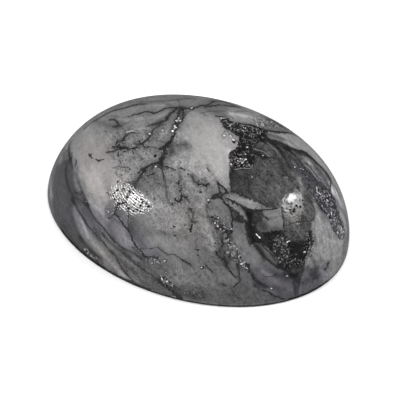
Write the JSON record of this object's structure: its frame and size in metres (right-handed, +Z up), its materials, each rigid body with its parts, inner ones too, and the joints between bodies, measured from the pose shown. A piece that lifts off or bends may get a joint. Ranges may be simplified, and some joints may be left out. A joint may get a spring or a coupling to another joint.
{
  "type": "pinolite cabochon gemstone",
  "caption": "Oval cabochon of pinolite: a high polished dome of white, grey and black magnesite rock on a flat back, for a bezel setting or display.",
  "frame": {"origin": "centre of the flat back, which the stone lies on", "axes": "+X along the oval's length, +Y across its width, +Z up from the flat back to the top of the dome"},
  "size_m": [0.03, 0.022, 0.012],
  "materials": {
    "polished_pinolite": "polished opaque stone, pale grey magnesite patches with black graphite seams, pitted where the graphite undercuts"
  },
  "bodies": {
    "root": {"stone": "polished_pinolite"}
  },
  "joints": []
}
